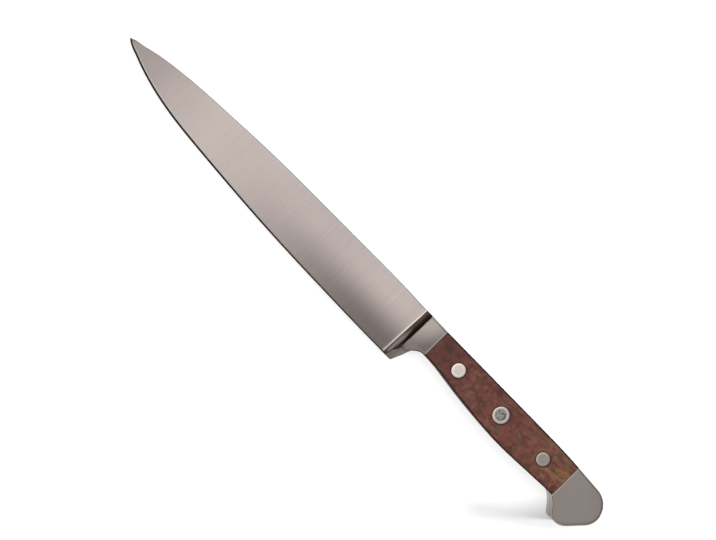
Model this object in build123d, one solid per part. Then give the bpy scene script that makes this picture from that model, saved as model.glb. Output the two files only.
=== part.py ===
from build123d import *
import math
import os

os.makedirs("parts", exist_ok=True)

# The knife is drawn along X from the tip, with its back on Y zero, the cutting edge towards -Y
# and the middle of its thickness on Z zero. At the end it is laid on its side.

# Blade
blade_length = 210.0            # tip to the corner of the heel
blade_height = 31.8             # back to cutting edge at the heel
back_thickness = 3.2            # across the back where the blade leaves the bolster
shoulder_thickness = 0.44       # across the blade where the cutting bevel starts
edge_thickness = 0.06           # across the sharp edge
bevel_height = 0.9              # height of the cutting bevel

# Bolster
bolster_thickness = 14.2        # across the flat sides at the front
bolster_length = 9.9            # corner of the heel to the wood
ramp_reach = 4.8                # corner of the heel forward to the foot of the ramp
ramp_length = 3.2               # along the knife, from the foot of the ramp to the flat side
ramp_foot_angle = 40.0          # degrees, slope of the ramp where it leaves the blade
heel_thickness = 1.6            # across the heel at the cutting edge
heel_slope_angle = 40.0         # degrees between the thinning side and the flat side
heel_lip = 0.8                  # strip of even thickness along the bottom of the heel
heel_corner_radius = 0.8
choil_radius = 8.0              # finger curve behind the heel
choil_angle = 74.5              # degrees, rise of the heel's rear edge
choil_run_out = 2.0             # level start of the belly behind the finger curve

# Handle
scale_length = 98.6             # wood between bolster and pommel
back_step = 0.85                # back of the blade down to the back of the handle
front_depth = 17.7              # back of the blade down to the belly, at the front of the wood
swell_depth = 22.6              # the same at the palm swell
rear_depth = 20.95              # the same at the rear of the wood
belly_rise_angle = 4.0          # degrees, slope of the belly where it meets the pommel
pommel_thickness = 19.0         # across the flat sides at the butt
tang_thickness = 3.6
handle_edge_radius = 2.0        # rounding along the back and the belly

# Pommel
pommel_length = 26.5            # end of the wood to the butt
hook_drop = 8.65                # belly at the rear of the wood down to the bottom of the hook
throat_radius = 4.0             # where the belly turns into the hook
back_bend_radius = 400.0        # slow fall of the back towards the butt
back_step_radius = 120.0        # where the fall of the bolster's back ends at the handle

# Rivets, each a hollow half that takes the pin of a solid half
rivet_head_diameter = 7.4
middle_head_diameter = 9.1
rivet_head_height = 2.0
rivet_tube_diameter = 5.0
rivet_pin_diameter = 3.2
rivet_end_gap = 0.5             # tube's mouth to the near head, and pin's end to the far head
rivet_clearance = 0.04          # all round, wherever a rivet half fits into something
medallion_diameter = 5.8        # sunk round field in the middle rivet's near head
medallion_depth = 0.25

overrun = 2.0                   # how far a cutter passes the faces that it cuts

# Stations from the tip to the bolster, each as a share of the blade's length, the depths of the
# back and of the cutting edge as shares of its height, and the thickness at the back as a share
blade_shares = [
    (0.0000, 0.359, 0.369, 0.20),
    (0.0100, 0.330, 0.415, 0.25),
    (0.0330, 0.298, 0.478, 0.31),
    (0.0580, 0.258, 0.538, 0.36),
    (0.1050, 0.197, 0.635, 0.44),
    (0.2000, 0.123, 0.761, 0.58),
    (0.3000, 0.079, 0.828, 0.69),
    (0.4430, 0.031, 0.898, 0.81),
    (0.5900, 0.013, 0.950, 0.90),
    (0.7900, 0.002, 0.986, 0.97),
    (0.9000, 0.000, 0.997, 0.99),
    (0.9550, 0.011, 0.998, 1.00),
    (0.9900, 0.022, 0.997, 1.00),
]

# Where the back starts to fall towards the handle, as a share of the blade's length
back_fall_share = 0.90

# Belly of the wood between its two ends, as shares of the wood's length and of the swell's depth
belly_shares = [(0.23, 0.872), (0.44, 0.962), (0.66, 1.000), (0.86, 0.962)]

# Corners of the hook before they are rounded: below the throat, toe, heel. Each is a share of the
# pommel's length behind the wood, a share of the hook's drop below the belly, and the radius of
# its rounding as a share of the pommel's length
hook_shares = [(0.147, 0.353, 0.453), (0.351, 1.000, 0.098), (0.564, 1.000, 0.321)]

# The lower and the upper corner of the butt in the same way, with the height as a share of the
# depth of the belly at the rear of the wood
butt_shares = [(1.069, 0.755, 0.358), (0.866, 0.149, 0.226)]

# Where the handle's back starts to fall towards the butt, as a share of the pommel's length ahead
# of the end of the wood
back_bend_share = 0.38

# Rivet centres, as shares of the wood's length and of the swell's depth
rivet_shares = {"front": (0.1815, 0.473), "middle": (0.508, 0.497), "rear": (0.832, 0.516)}

seam_front = blade_length + bolster_length
seam_rear = seam_front + scale_length
overall_length = seam_rear + pommel_length
ramp_front = blade_length - ramp_reach
ramp_rear = ramp_front + ramp_length
bolster_root = ramp_front - back_thickness / math.tan(math.radians(ramp_foot_angle))
flare = math.atan((pommel_thickness - bolster_thickness) / 2 / (overall_length - ramp_rear))
wide = pommel_thickness + overrun
tall = max(blade_height, rear_depth + hook_drop) + overrun


def half_thickness(x):
    """Half the distance between the handle's flat sides, which spread towards the butt."""
    return bolster_thickness / 2 + (x - ramp_rear) * math.tan(flare)


def blade():
    """Blade from the tip into the bolster: thinning from back to edge, with a cutting bevel."""
    back, shoulder, edge = [], [], []
    for along_share, back_share, edge_share, thickness_share in blade_shares:
        x = along_share * blade_length
        top = -back_share * blade_height
        bottom = -edge_share * blade_height
        half_back = thickness_share * back_thickness / 2
        bevel = min(bevel_height, (top - bottom) / 2)
        back.append((x, top, half_back))
        shoulder.append((x, bottom + bevel, min(shoulder_thickness / 2, half_back)))
        edge.append((x, bottom, edge_thickness / 2))
    near = [back, shoulder, edge]
    far = [[(x, y, -z) for x, y, z in points] for points in reversed(near)]
    ring = [Edge.make_spline(points) for points in near + far]
    faces = [Face.make_surface_from_curves(a, b) for a, b in zip(ring, ring[1:] + ring[:1])]
    for end in (0, 1):
        faces.append(Face(Wire.make_polygon([line @ end for line in ring], close=True)))
    return Solid(Shell(faces))


def handle_outline():
    """Side view of the bolster, the handle and the pommel as one closed face."""
    rise = math.radians(choil_angle)
    belly_rise = math.radians(belly_rise_angle)
    fall_start = back_fall_share * blade_length
    fallen_share = (bolster_root - fall_start) / (seam_front - fall_start)
    front_top = (bolster_root, -fallen_share * back_step)
    front_bottom = (bolster_root, -blade_height)
    heel = (blade_length, -blade_height)
    choil_corner = (blade_length + (blade_height - front_depth) / math.tan(rise), -front_depth)
    choil_end = choil_corner[0] + choil_radius * math.tan(rise / 2)
    belly_start = (choil_end + choil_run_out, -front_depth)
    throat = (seam_rear, -rear_depth)
    belly_end = (seam_rear - throat_radius, -rear_depth - throat_radius * math.tan(belly_rise))
    belly = [belly_start]
    belly += [(seam_front + a * scale_length, -b * swell_depth) for a, b in belly_shares]
    belly += [belly_end]
    pommel = [(seam_rear + a * pommel_length, -rear_depth - b * hook_drop) for a, b, r in hook_shares]
    pommel += [(seam_rear + a * pommel_length, -b * rear_depth) for a, b, r in butt_shares]
    rounding = [r * pommel_length for a, b, r in hook_shares + butt_shares]
    back_bend = (seam_rear - back_bend_share * pommel_length, -back_step)
    lower = FilletPolyline(
        front_bottom, heel, choil_corner, belly_start, radius=[0, choil_radius]
    )
    middle = Spline(*belly, tangents=[(1, 0), (math.cos(belly_rise), math.sin(belly_rise))])
    upper = FilletPolyline(
        belly_end, throat, *pommel, back_bend, (seam_front, -back_step), front_top,
        radius=[throat_radius, *rounding, back_bend_radius, back_step_radius],
    )
    return make_face([lower, middle, upper, Line(front_top, front_bottom)])


def spread_sides():
    """Space between the two flat sides, from the bolster to behind the butt."""
    ends = [(x, half_thickness(x)) for x in (bolster_root - overrun, overall_length + overrun)]
    corners = ends + [(x, -z) for x, z in reversed(ends)]
    return extrude(Plane.XZ * make_face(Polyline(*corners, close=True)), tall, both=True)


def ramp_side(sign):
    """One side of the ramp in plan: out of the blade, up a hollow curve to the flat side."""
    slope = math.radians(ramp_foot_angle)
    point = (ramp_front - back_thickness / 2 / math.tan(slope), 0)
    foot = (ramp_front, sign * back_thickness / 2)
    crest = (ramp_rear, sign * bolster_thickness / 2)
    return [
        Line(point, foot),
        TangentArc(foot, crest, tangent=(math.cos(slope), sign * math.sin(slope))),
        Polyline(crest, (ramp_rear, sign * wide), (overall_length + overrun, sign * wide)),
    ]


def ramp_space():
    """Plan view behind the ramp, as tall as the knife."""
    rear = Line((overall_length + overrun, wide), (overall_length + overrun, -wide))
    plan = make_face(ramp_side(1) + ramp_side(-1) + [rear])
    return extrude(Plane.XZ * plan, tall, both=True)


def heel_waste(sign):
    """What is ground away on one side of the bolster, which thins towards the cutting edge."""
    lip = -blade_height + heel_lip
    half = heel_thickness / 2
    crest = lip + (wide - half) / math.tan(math.radians(heel_slope_angle))
    low = -blade_height - overrun
    corners = [(low, half), (lip, half), (crest, wide), (low, wide)]
    view = make_face(Polyline(*[(y, sign * z) for y, z in corners], close=True))
    front = Plane.YZ.offset(bolster_root - overrun)
    return extrude(front * view, seam_front - bolster_root + overrun)


def is_rounded(edge):
    """All edges of the flat sides are rounded but those at the front end and below the heel."""
    middle = edge.center()
    return middle.X > blade_length or middle.Y > -front_depth / 2


def handle_body():
    """Bolster, handle and pommel ground to one smooth shape, before it is split into pieces."""
    body = extrude(handle_outline(), wide, both=True) & spread_sides()
    near = body.faces().sort_by(Axis.Z)[-1]
    far = body.faces().sort_by(Axis.Z)[0]
    body = fillet((near.edges() + far.edges()).filter_by(is_rounded), handle_edge_radius)
    body = (body & ramp_space()) - heel_waste(1) - heel_waste(-1)
    heel = Vector(blade_length, -blade_height)
    heel_edge = body.edges().filter_by(Axis.Z).sort_by(lambda e: (e.center() - heel).length)[0]
    return fillet(heel_edge, heel_corner_radius).solid()


def scale_room(low, high):
    """Box over the length of the wood, between two heights from the middle of the knife."""
    box = Box(scale_length, 2 * tall, high - low, align=(Align.MIN, Align.CENTER, Align.MIN))
    return Pos(seam_front, 0, low) * box


def rod(place, diameter, low, high):
    """Round bar across the knife at a rivet's place, between two heights."""
    align = (Align.CENTER, Align.CENTER, Align.MIN)
    return Pos(place[0], place[1], low) * Cylinder(diameter / 2, high - low, align=align)


def rivet_place(name):
    along_share, depth_share = rivet_shares[name]
    return seam_front + along_share * scale_length, -depth_share * swell_depth


def head_diameter(name):
    return middle_head_diameter if name == "middle" else rivet_head_diameter


def rivet_hole(name):
    """Hole through both scales and the tang, with a seat for each head."""
    place = rivet_place(name)
    seat = half_thickness(place[0]) - rivet_head_height
    head = head_diameter(name) + 2 * rivet_clearance
    through = rod(place, rivet_tube_diameter + 2 * rivet_clearance, -wide, wide)
    return through + rod(place, head, seat, wide) + rod(place, head, -wide, -seat)


def rivet_post(name, body):
    """Solid half: near head, ground flush with the wood, and its pin."""
    place = rivet_place(name)
    seat = half_thickness(place[0]) - rivet_head_height
    head = rod(place, head_diameter(name), seat, wide) & body
    if name == "middle":
        field = half_thickness(place[0]) - medallion_depth
        head -= rod(place, medallion_diameter, field, wide)
    pin_end = -seat + rivet_end_gap
    return (head + rod(place, rivet_pin_diameter, pin_end, seat)).solid()


def rivet_tube(name, body):
    """Hollow half: far head, ground flush with the wood, and the tube that takes the pin."""
    place = rivet_place(name)
    seat = half_thickness(place[0]) - rivet_head_height
    head = rod(place, head_diameter(name), -wide, -seat) & body
    mouth = seat - rivet_end_gap
    tube = rod(place, rivet_tube_diameter, -seat, mouth)
    bore = rod(place, rivet_pin_diameter + 2 * rivet_clearance, -seat, mouth)
    return (head + (tube - bore)).solid()


def knife():
    """Every piece by its name, in the frame that the knife is drawn in."""
    body = handle_body()
    holes = [rivet_hole(name) for name in rivet_shares]
    half_tang = tang_thickness / 2
    near_room = scale_room(half_tang, wide)
    far_room = scale_room(-wide, -half_tang)
    pieces = {
        "forged_blade": body - near_room - far_room - holes + blade(),
        "near_scale": (body & near_room) - holes,
        "far_scale": (body & far_room) - holes,
    }
    for name in rivet_shares:
        pieces[name + "_rivet_post"] = rivet_post(name, body)
        pieces[name + "_rivet_tube"] = rivet_tube(name, body)
    return {name: piece.solid() for name, piece in pieces.items()}


def laid_on_side(pieces):
    """Turns the far flat side level and puts the origin below the middle of the knife."""
    turned = {name: Rot(0, -math.degrees(flare), 0) * piece for name, piece in pieces.items()}
    box = Compound(list(turned.values())).bounding_box()
    origin = Pos(-box.center().X, -box.center().Y, -box.min.Z)
    return {name: origin * piece for name, piece in turned.items()}


for name, piece in laid_on_side(knife()).items():
    export_step(piece, f"parts/{name}.step")
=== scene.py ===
import bmesh
import bpy
import math
import numpy as np
from mathutils import Matrix, Vector


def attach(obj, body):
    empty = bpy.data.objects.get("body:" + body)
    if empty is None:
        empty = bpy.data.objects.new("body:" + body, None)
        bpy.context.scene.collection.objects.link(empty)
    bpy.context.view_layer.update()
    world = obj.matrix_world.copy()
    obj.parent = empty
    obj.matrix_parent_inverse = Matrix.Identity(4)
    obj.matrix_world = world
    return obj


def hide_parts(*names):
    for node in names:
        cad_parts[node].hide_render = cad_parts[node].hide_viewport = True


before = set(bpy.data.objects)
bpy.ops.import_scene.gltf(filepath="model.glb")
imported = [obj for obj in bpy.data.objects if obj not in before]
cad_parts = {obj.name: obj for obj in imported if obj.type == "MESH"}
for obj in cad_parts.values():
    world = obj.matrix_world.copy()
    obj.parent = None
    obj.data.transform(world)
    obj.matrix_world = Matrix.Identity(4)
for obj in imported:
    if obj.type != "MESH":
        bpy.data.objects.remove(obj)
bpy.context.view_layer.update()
mm = 0.001
print("frame loaded with", len(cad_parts), "nodes")

# Shapes are drawn in millimetres as a cutler would draw them: x from the tip to the butt, y zero at
# the highest point of the back, z zero in the middle of the thickness. laid() then turns and shifts
# the points, because the knife lies on the flat far side of its pommel.
lyingKnife = {
    "turnDegrees": -1.0066,             # about the y axis
    "shift": (-172.598, 15.870, 3.438),
}
lyingTurn = math.radians(lyingKnife["turnDegrees"])
turning = np.array([
    [math.cos(lyingTurn), 0, math.sin(lyingTurn)],
    [0, 1, 0],
    [-math.sin(lyingTurn), 0, math.cos(lyingTurn)],
])


def laid(points):
    # turned about y, shifted, and in metres
    return (np.asarray(points, float) @ turning.T + lyingKnife["shift"]) * mm


def knifePoints(data, key):
    # places of a mesh's points or faces, back in the knife's own millimetres
    places = np.empty(len(data) * 3)
    data.foreach_get(key, places)
    return ((places.reshape(-1, 3) / mm - lyingKnife["shift"]) @ turning).T


# Curves and small formulas that every piece uses

def unit(vectors):
    # each vector over its own length
    return vectors / np.linalg.norm(vectors, axis=-1, keepdims=True)


def mixed(a, b, share):
    # a where the share is 0, b where it is 1
    return a + (b - a) * share


def fade(x, low, high):
    # 0 up to low, 1 from high on, and an S-shaped rise between them
    t = np.clip((x - low) / (high - low), 0, 1)
    return t * t * (3 - 2 * t)


def softMin(a, b, width):
    # the smaller of two heights, with the corner between them rounded over the width
    share = np.clip(0.5 + 0.5 * (b - a) / width, 0, 1)
    return mixed(b, a, share) - width * share * (1 - share)


def softMax(a, b, width):
    # the larger of two heights, rounded in the same way
    return -softMin(-a, -b, width)


def edgeDrop(distance, radius):
    # how far a rounded edge lies below the flat side, at a distance from the outline
    reach = np.clip(radius - distance, 0, None)
    return radius - np.sqrt(np.maximum(radius ** 2 - reach ** 2, 0))


def brokenEdge(gap, ease):
    # how far a face that is broken at its end lies below the flat side, at a gap from that end
    return ease * np.clip(1 - gap / ease, 0, 1) ** 2


def roundedLine(corners, radii, steps=28):
    # Straight runs with arcs for inner corners. Each arc starts one tangent length before its
    # corner, and its points turn evenly about the centre from the first tangent to the second.
    corners = np.array(corners, float)
    radii = np.array(radii, float)[:, None]
    back = unit(corners[:-2] - corners[1:-1])
    ahead = unit(corners[2:] - corners[1:-1])
    half = np.arccos(np.clip((back * ahead).sum(1, keepdims=True), -1, 1)) / 2
    centre = corners[1:-1] + unit(back + ahead) * radii / np.sin(half)
    first = corners[1:-1] + back * radii / np.tan(half) - centre
    last = corners[1:-1] + ahead * radii / np.tan(half) - centre
    sweep = (math.pi - 2 * half)[:, :, None]
    share = np.linspace(0, 1, steps)[None, :, None]
    arcs = np.sin((1 - share) * sweep) * first[:, None] + np.sin(share * sweep) * last[:, None]
    arcs = centre[:, None] + arcs / np.sin(sweep)
    return np.concatenate([corners[:1], arcs.reshape(-1, 2), corners[-1:]])


def smoothThrough(x, xs, ys, endSlopes=None):
    # Cubic spline through the given points: the slopes at the points solve the condition that the
    # curvature never jumps, and between two points a cubic joins them with those slopes.
    xs, ys = np.array(xs, float), np.array(ys, float)
    step = np.diff(xs)
    rise = np.diff(ys) / step
    count = len(xs)
    inner = np.arange(1, count - 1)
    matrix, right = np.zeros((count, count)), np.zeros(count)
    matrix[inner, inner - 1] = 1 / step[:-1]
    matrix[inner, inner] = 2 / step[:-1] + 2 / step[1:]
    matrix[inner, inner + 1] = 1 / step[1:]
    right[inner] = 3 * (rise[:-1] / step[:-1] + rise[1:] / step[1:])
    if endSlopes:
        matrix[0, 0] = matrix[-1, -1] = 1
        right[0], right[-1] = endSlopes
    else:
        matrix[0, :2], right[0] = (2, 1), 3 * rise[0]
        matrix[-1, -2:], right[-1] = (1, 2), 3 * rise[-1]
    slope = np.linalg.solve(matrix, right)
    k = np.clip(np.searchsorted(xs, x) - 1, 0, count - 2)
    t = (x - xs[k]) / step[k]
    return (
        ys[k] * (1 + 2 * t) * (1 - t) ** 2 + ys[k + 1] * t * t * (3 - 2 * t)
        + step[k] * (slope[k] * t * (1 - t) ** 2 - slope[k + 1] * t * t * (1 - t))
    )


# Mesh from grids of points

meshRules = {
    "merge": 0.001,                     # mm between points that are one
    "sharpDegrees": 34,
}


def meshPiece(name, grids):
    # Each grid is an array of rows, columns and xyz. Neighbouring grids share their border points,
    # which are merged, and then all faces are turned outwards.
    points, faces, start = [], [], 0
    for grid in grids:
        rows, columns = grid.shape[:2]
        number = start + np.arange(rows * columns).reshape(rows, columns)
        corners = (number[:-1, :-1], number[1:, :-1], number[1:, 1:], number[:-1, 1:])
        faces.append(np.stack(corners, -1).reshape(-1, 4))
        points.append(laid(grid).reshape(-1, 3))
        start += rows * columns
    mesh = bpy.data.meshes.new(name)
    mesh.from_pydata(np.concatenate(points).tolist(), [], np.concatenate(faces).tolist())
    work = bmesh.new()
    work.from_mesh(mesh)
    merge = meshRules["merge"] * mm
    bmesh.ops.remove_doubles(work, verts=work.verts, dist=merge)
    bmesh.ops.dissolve_degenerate(work, edges=work.edges, dist=merge / 2)
    bmesh.ops.recalc_face_normals(work, faces=work.faces)
    if work.calc_volume(signed=True) < 0:
        bmesh.ops.reverse_faces(work, faces=work.faces)
    work.to_mesh(mesh)
    work.free()
    mesh.polygons.foreach_set("use_smooth", np.ones(len(mesh.polygons), bool))
    mesh.set_sharp_from_angle(angle=math.radians(meshRules["sharpDegrees"]))
    piece = bpy.data.objects.new(name, mesh)
    bpy.context.scene.collection.objects.link(piece)
    return piece


# Outline of the whole knife

knifeOutline = {
    "bladeLength": 210.0,
    "bladeHeight": 31.8,
    # along the blade, depth of the back, depth of the edge and thickness at the back, as shares
    "bladeStations": [
        (0.0000, 0.359, 0.369, 0.20), (0.0100, 0.330, 0.415, 0.25), (0.0330, 0.298, 0.478, 0.31),
        (0.0580, 0.258, 0.538, 0.36), (0.1050, 0.197, 0.635, 0.44), (0.2000, 0.123, 0.761, 0.58),
        (0.3000, 0.079, 0.828, 0.69), (0.4430, 0.031, 0.898, 0.81), (0.5900, 0.013, 0.950, 0.90),
        (0.7900, 0.002, 0.986, 0.97), (0.9000, 0.000, 0.997, 0.99), (0.9550, 0.011, 0.998, 1.00),
        (0.9900, 0.022, 0.997, 1.00),
    ],
    "tipRun": 8.0,                      # mm of the tip that get finer points
    "linePoints": (60, 500, 300),       # along the tip, the rest of the blade and the belly
    "bladeEnd": 200.5,                  # where the blade's lines give way to the bolster's
    "bolsterStart": 203.5,
    "seamFront": 219.9,                 # bolster to wood
    "seamRear": 318.5,                  # wood to pommel
    "choilCorner": (213.91, -17.7),
    "heelRadius": 0.8,
    "choilRadius": 8.0,
    "bellyStart": (221.99, -17.7),
    "bellyPoints": [(242.58, -19.71), (263.28, -21.74), (284.98, -22.60), (304.70, -21.74)],
    "bellyEnd": (314.5, -21.23),
    "bellyRiseDegrees": 4.0,
    # throat, three corners of the hook, two of the butt, and the bends of the back, with radii
    "rearCorners": [
        (318.5, -20.95, 4.0), (322.40, -24.00, 12.0), (327.90, -30.0, 3.0), (333.30, -30.0, 8.5),
        (346.83, -15.82, 9.49), (341.75, -2.95, 11.5), (308.43, -0.85, 400.0),
        (219.9, -0.85, 120.0),
    ],
    "backEnd": (203.5, -0.40),
}


def bladeLine(x, column):
    # one column of the blade's stations, as a smooth curve
    table = np.array(knifeOutline["bladeStations"])
    return smoothThrough(x, table[:, 0] * knifeOutline["bladeLength"], table[:, column])


def outlineLoop():
    # One line round the side view: out along the edge and the belly, round the butt, and home
    # along the back. It runs anticlockwise, so the inside lies on its left.
    o = knifeOutline
    height, tipRun, counts = o["bladeHeight"], o["tipRun"], o["linePoints"]
    start = np.concatenate([
        np.linspace(0, tipRun, counts[0]), np.linspace(tipRun, o["bladeEnd"], counts[1])[1:],
    ])
    edge = np.stack([start, -bladeLine(start, 2) * height], 1)
    back = np.stack([start, -bladeLine(start, 1) * height], 1)[::-1]
    level = [(o[name], -height) for name in ("bolsterStart", "bladeLength")]
    heel = roundedLine(
        [*level, o["choilCorner"], o["bellyStart"]], [o["heelRadius"], o["choilRadius"]],
    )
    stations = np.array([o["bellyStart"], *o["bellyPoints"], o["bellyEnd"]])
    x = np.linspace(stations[0, 0], stations[-1, 0], counts[2])[1:]
    rise = math.tan(math.radians(o["bellyRiseDegrees"]))
    belly = np.stack([x, smoothThrough(x, stations[:, 0], stations[:, 1], (0.0, rise))], 1)
    corners = np.array(o["rearCorners"])
    rear = roundedLine([o["bellyEnd"], *corners[:, :2], o["backEnd"]], corners[:, 2])[1:]
    return np.concatenate([edge, heel, belly, rear, back])


def lineAt(points, length, stops):
    # the points of a line at these lengths along it
    return np.stack([np.interp(stops, length, points[:, c]) for c in (0, 1)], 1)


def densely(points, spacing=0.05):
    # the same line with extra points on its straight runs
    length = np.concatenate([[0], np.cumsum(np.linalg.norm(np.diff(points, axis=0), axis=1))])
    every = np.union1d(length, np.arange(0, length[-1], spacing))
    return lineAt(points, length, every), every


loopPoints, loopLength = densely(outlineLoop())


def stopNear(x, y):
    # how far along the outline the point nearest to (x, y) lies
    return loopLength[np.argmin(np.linalg.norm(loopPoints - (x, y), axis=1))]


def walkLoop(stops, reach=0.15):
    # Points of the outline at these lengths, and the unit normals there that point inwards, each
    # square to the line between two points a short reach to either side.
    ahead, behind = (lineAt(loopPoints, loopLength, stops + way) for way in (reach, -reach))
    along = unit(ahead - behind)
    return lineAt(loopPoints, loopLength, stops), np.stack([-along[:, 1], along[:, 0]], 1)


def between(first, last, count, power=1.0):
    # numbers from first to last, closer together at the start where the power is above 1
    return first + (last - first) * np.linspace(0, 1, count) ** power


# Half of the thickness over the side view

forging = {
    "backThickness": 3.2,
    "shoulderThickness": 0.44,
    "edgeThickness": 0.06,
    "bevelHeight": (1.15, 0.65),        # cutting bevel at the tip and at the heel
    "backSoftness": 0.45,               # rounding of the two long corners of the blade's back
    "softFades": (2.0, 0.75),           # full 2 mm below the back, none at this share of the height
    "bolsterThickness": 14.2,
    "pommelThickness": 19.0,
    "overallLength": 345.0,
    "bladeOnly": 196.0,                 # mm from the tip, nothing of the bolster shows up to here
    "rampFront": 205.15,                # foot and crest of the ramp behind the blade
    "rampRear": 208.45,
    "rampSlant": 0.028,                 # x of both lines grows by this share of y
    "rampMiddle": -12.0,
    "rampFootDegrees": 40.0,
    "footWidth": (1.5, 0.5),            # hollow fillet at the ramp's foot, at the heel and the back
    "footWidens": (2.0, 0.9),           # from 2 mm below the back to this share of the height
    "crestWidth": 0.35,
    "pastCrest": 0.4,                   # mm, from here on the ramp no longer counts
    "heelThickness": 1.6,
    "heelLip": 0.8,
    "heelSlopeDegrees": 40.0,
    "heelSoftness": 0.9,
    "lipSoftness": 0.3,
    "edgeRounding": 1.3,
    "tangThickness": 3.6,
    "tangInset": 0.05,                  # tang's rim below the bolster's and the wood's
    "seamEase": 0.16,                   # broken corner of the steel where the wood starts
}


def flatSide(x):
    # the handle's flat sides spread evenly from the bolster to the butt
    f = forging
    share = (x - f["rampRear"]) / (f["overallLength"] - f["rampRear"])
    return mixed(f["bolsterThickness"], f["pommelThickness"], share) / 2


def bevelWidth(x):
    # the cutting bevel narrows evenly from the tip to the heel
    return mixed(*forging["bevelHeight"], x / knifeOutline["bladeLength"])


def bladeHeight(x, y):
    # Flat from the back down to the shoulder of the cutting bevel, then the bevel. Past the end of
    # the table the last shape goes on.
    f, o = forging, knifeOutline
    x = np.clip(x, 0, o["bladeStations"][-1][0] * o["bladeLength"])
    top, bottom = (-bladeLine(x, column) * o["bladeHeight"] for column in (1, 2))
    bevel = np.minimum(bevelWidth(x), (top - bottom) / 2)
    back = bladeLine(x, 3) * f["backThickness"] / 2
    lowest = f["edgeThickness"] / 2
    shoulder = np.minimum(f["shoulderThickness"] / 2, back)
    side = mixed(shoulder, back, (y - bottom - bevel) / (top - bottom - bevel))
    ground = mixed(lowest, shoulder, (y - bottom) / bevel)
    return np.maximum(np.minimum(side, ground), lowest)


def rampHeight(x, y):
    # A straight slope up to the foot on the blade's side, then a hollow arc that starts in that
    # slope and ends on the flat side. Both lines slant a little, as the whole ramp does.
    f = forging
    x = x - f["rampSlant"] * (y - f["rampMiddle"]) - f["rampFront"]
    slope = math.radians(f["rampFootDegrees"])
    footHeight = bladeHeight(f["rampFront"] + 0 * x, y)
    run, rise = f["rampRear"] - f["rampFront"], f["bolsterThickness"] / 2 - footHeight
    radius = (run ** 2 + rise ** 2) / (2 * (rise * math.cos(slope) - run * math.sin(slope)))
    below = np.sqrt(np.maximum(radius ** 2 - (x + radius * math.sin(slope)) ** 2, 0))
    onArc = footHeight + radius * math.cos(slope) - below
    straight = footHeight + x * math.tan(slope)
    pastCrest = 2 * rise + 2            # high enough to leave the flat side alone
    return np.where(x < 0, straight, np.where(x > run + f["pastCrest"], pastCrest, onArc))


def bolsterHeight(x, y, edge, rounding):
    # The least of the flat side with its rounded edge, the ramp, and the heel's ground side, which
    # rises evenly from the lip above the cutting edge.
    f = forging
    half, lip = f["heelThickness"] / 2, f["heelLip"] - knifeOutline["bladeHeight"]
    slope = math.tan(math.radians(f["heelSlopeDegrees"]))
    heel = softMax(half + (y - lip) * slope, half + 0 * y, f["lipSoftness"])
    height = flatSide(x) - edgeDrop(edge, rounding)
    height = softMin(height, rampHeight(x, y), f["crestWidth"])
    return softMin(height, heel, f["heelSoftness"])


def forgedSheet(x, y, edge, rounding, zone):
    # Zone 0 is blade and bolster, 1 the tang, 2 the pommel. The blade's back loses its corners,
    # except down at the edge, and the steel's corners are broken where the wood starts.
    f, o = forging, knifeOutline
    height = o["bladeHeight"]
    start, full = f["footWidens"]
    foot = mixed(*f["footWidth"][::-1], fade(-y, start, full * height))
    full, gone = f["softFades"]
    onBack = fade(y, -gone * height, -full)
    blade = bladeHeight(x, y) - edgeDrop(edge, f["backSoftness"]) * onBack
    front = softMax(blade, bolsterHeight(x, y, edge, rounding), foot)
    front = np.where(x > f["bladeOnly"], front, blade)
    rear = flatSide(x) - edgeDrop(edge, rounding)
    gap = np.where(zone == 0, o["seamFront"] - x, x - o["seamRear"])
    steel = np.where(zone == 0, front, rear) - brokenEdge(gap, f["seamEase"])
    return np.where(zone == 1, f["tangThickness"] / 2, steel)


# Ribs across the side view. Each leaves the outline at right angles, crosses a band as wide as the
# rounded edge, and goes on straight to the spine.

ribPlan = {
    "bandRows": 9,
    "innerRows": 15,
    "wallRows": 4,
    "tipPower": 1.5,                    # ribs crowd towards the tip
    "narrowBand": 0.3,                  # mm, along the blade
    "heelBand": 0.5,
    "widestBand": 0.35,                 # share of the rib
    "topWidens": (203.0, 206.0),        # mm from the tip where the bands widen
    "bottomWidens": (204.0, 209.0),
    "pastHeel": (-0.5, 4.0),            # mm from the heel's corner where the rounded edge starts
    "heelAlong": (196.0, 204.0, 213.0, 219.0),      # where the spine follows the heel's crease
    "creaseLift": 0.2,                  # least height of the crease, as a share of the rib
    "creaseSoftness": 1.0,              # mm
    "heelPower": 0.7,                   # how much more the rows crowd towards that crease
    "swingStart": 2.0,                  # mm behind the rear seam, the spine swings to the hub
    "buttStops": ((334.2, -29.8), (333.5, -2.6)),   # where the ribs give way to the fan
    "hub": (333.0, -15.0),              # middle of the fan round the butt
    "fanRibs": 90,
}


def ribHalf(outer, normal, spine, width, power):
    # The band has the steps of a quarter circle, from the outline inwards, and the rows beyond it
    # crowd towards the spine. Also gives how far each point lies from the outline.
    quarter = np.linspace(0, math.pi / 2, ribPlan["bandRows"])
    offset = width[:, None] * (1 - np.cos(quarter))
    near = outer[:, None] + normal[:, None] * offset[..., None]
    share = np.linspace(0, 1, ribPlan["innerRows"] + 1)[1:]
    share = 1 - (1 - share[None]) ** power[:, None]
    inner = near[:, -1:] + (spine[:, None] - near[:, -1:]) * share[..., None]
    reach = offset[:, -1:] + np.linalg.norm(inner - near[:, -1:], axis=2)
    return np.concatenate([near, inner], 1), np.concatenate([offset, reach], 1)


def wholeRibs(top, topNormal, topWidth, bottom, bottomNormal, bottomWidth, spine, power):
    # both halves of each rib in one row, from the upper line to the lower one
    upper = ribHalf(top, topNormal, spine, topWidth, power)
    lower = ribHalf(bottom, bottomNormal, spine, bottomWidth, power)
    return [np.concatenate([high, low[:, -2::-1]], 1) for high, low in zip(upper, lower)]


def sheet(side, thick):
    # the side view's points with their heights
    return np.concatenate([side, thick[..., None]], -1)


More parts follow.
